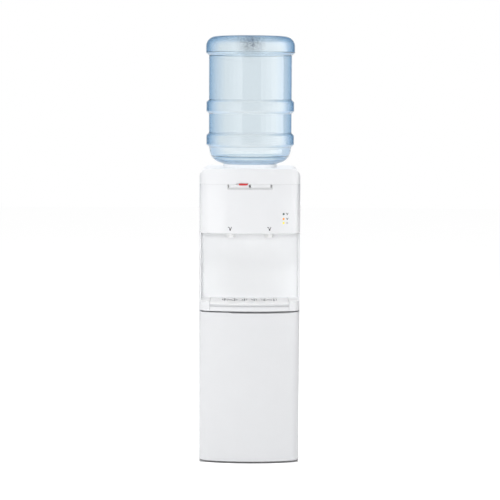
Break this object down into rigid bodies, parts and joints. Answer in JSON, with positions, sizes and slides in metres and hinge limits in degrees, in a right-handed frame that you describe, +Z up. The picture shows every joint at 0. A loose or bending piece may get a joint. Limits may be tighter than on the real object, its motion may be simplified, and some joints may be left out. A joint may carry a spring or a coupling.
{
  "type": "water dispenser",
  "caption": "Free-standing top-loading hot and cold water dispenser: white cabinet with push keys, cup alcove, drip tray and storage door, and an inverted blue bottle on top.",
  "frame": {"origin": "on the floor under the middle of the dispenser's plan", "axes": "+Z up, the front with the keys and the door faces -Y, +X to the right seen from the front"},
  "size_m": [0.31, 0.32, 1.312],
  "materials": {
    "white_abs": "satin gloss",
    "white_steel": "satin",
    "grille_plastic": "satin",
    "liner_plastic": "matte",
    "grey_trim": "satin",
    "red_plastic": "gloss",
    "lens_green": "gloss",
    "lens_orange": "gloss",
    "lens_yellow": "gloss",
    "bottle_blue": "clear gloss",
    "cap_blue": "satin",
    "zinc_steel": "zinc plated",
    "stainless": "brushed",
    "baffle_plastic": "matte",
    "evaporator_aluminium": "mill",
    "foam": "porous",
    "black_steel": "semi-gloss",
    "copper": "drawn",
    "black_rubber": "matte",
    "gasket_rubber": "matte",
    "silicone": "translucent matte",
    "black_plastic": "fine grain",
    "rocker_red": "gloss",
    "rocker_green": "gloss",
    "board": "lacquered"
  },
  "bodies": {
    "cabinet": {"top_cover": "white_abs", "control_panel": "white_abs", "alcove_liner": "white_abs", "tray_shelf": "white_abs", "bottle_collar": "white_abs", "spouts": "white_abs", "left_side_panel": "white_steel", "right_side_panel": "white_steel", "storage_liner": "liner_plastic", "well_funnel": "liner_plastic", "feed_probe": "liner_plastic", "tap_valves": "liner_plastic", "button_bezel": "grey_trim", "led_green": "lens_green", "led_orange": "lens_orange", "led_yellow": "lens_yellow", "base_pan": "zinc_steel", "back_panel": "zinc_steel", "deck": "zinc_steel", "tank_shelf": "zinc_steel", "hinge_brackets": "zinc_steel", "hinge_pins": "zinc_steel", "case_screws": "zinc_steel", "hot_tank_stand": "zinc_steel", "heater_band": "zinc_steel", "cold_tank": "stainless", "cold_tank_lid": "stainless", "hot_tank": "stainless", "tank_tubes": "stainless", "cold_tank_baffle": "baffle_plastic", "evaporator_jacket": "evaporator_aluminium", "tank_foam": "foam", "compressor": "black_steel", "condenser_tube": "black_steel", "condenser_rack": "black_steel", "refrigerant_lines": "copper", "filter_drier": "copper", "feet": "black_rubber", "compressor_grommets": "black_rubber", "cord_gland": "black_rubber", "water_hoses": "silicone", "switch_housings": "black_plastic", "thermostats": "black_plastic", "indicator_board": "board"},
    "bottle": {"water_bottle": "bottle_blue", "bottle_cap": "cap_blue"},
    "hot_key": {"hot_button": "white_abs"},
    "cold_key": {"cold_button": "white_abs"},
    "lock": {"child_lock": "red_plastic"},
    "hot_stem": {"hot_plunger": "liner_plastic"},
    "cold_stem": {"cold_plunger": "liner_plastic"},
    "tray": {"drip_tray": "white_abs"},
    "grille": {"drip_grille": "grille_plastic"},
    "door": {"door_panel": "white_abs", "door_liner": "liner_plastic", "door_gasket": "gasket_rubber"},
    "hot_switch": {"hot_rocker": "rocker_red"},
    "cold_switch": {"cold_rocker": "rocker_green"},
    "drain_plug": {"drain_cap": "black_plastic"}
  },
  "joints": [
    {"name": "bottle_lift", "type": "slide", "parent": "cabinet", "child": "bottle", "axis": [0, 0, 1], "range_m": [0, 0.15]},
    {"name": "hot_press", "type": "slide", "parent": "cabinet", "child": "hot_key", "axis": [0, 1, 0], "range_m": [0, 0.006], "stiffness_N_per_m": 400},
    {"name": "cold_press", "type": "slide", "parent": "cabinet", "child": "cold_key", "axis": [0, 1, 0], "range_m": [0, 0.006], "stiffness_N_per_m": 400},
    {"name": "lock_slide", "type": "slide", "parent": "hot_key", "child": "lock", "axis": [-1, 0, 0], "range_m": [0, 0.006], "stiffness_N_per_m": 150},
    {"name": "hot_valve_stroke", "type": "slide", "parent": "cabinet", "child": "hot_stem", "axis": [0, 1, 0], "range_m": [0, 0.006]},
    {"name": "cold_valve_stroke", "type": "slide", "parent": "cabinet", "child": "cold_stem", "axis": [0, 1, 0], "range_m": [0, 0.006]},
    {"name": "tray_slide", "type": "slide", "parent": "cabinet", "child": "tray", "axis": [0, -1, 0], "range_m": [0, 0.12]},
    {"name": "grille_lift", "type": "slide", "parent": "tray", "child": "grille", "axis": [0, 0, 1], "range_m": [0, 0.06]},
    {"name": "door_swing", "type": "hinge", "parent": "cabinet", "child": "door", "pos_m": [-0.1475, -0.101, 0.24], "axis": [0, 0, -1], "range_deg": [0, 100]},
    {"name": "hot_rock", "type": "hinge", "parent": "cabinet", "child": "hot_switch", "pos_m": [0.105, 0.1255, 0.78], "axis": [1, 0, 0], "range_deg": [-12, 0]},
    {"name": "cold_rock", "type": "hinge", "parent": "cabinet", "child": "cold_switch", "pos_m": [0.07, 0.1255, 0.78], "axis": [1, 0, 0], "range_deg": [-12, 0]},
    {"name": "drain_cap_pull", "type": "slide", "parent": "cabinet", "child": "drain_plug", "axis": [0, 1, 0], "range_m": [0, 0.03]}
  ],
  "couplings": [
    {"joint": "hot_valve_stroke", "follows": "hot_press", "ratio": 1},
    {"joint": "cold_valve_stroke", "follows": "cold_press", "ratio": 1}
  ]
}
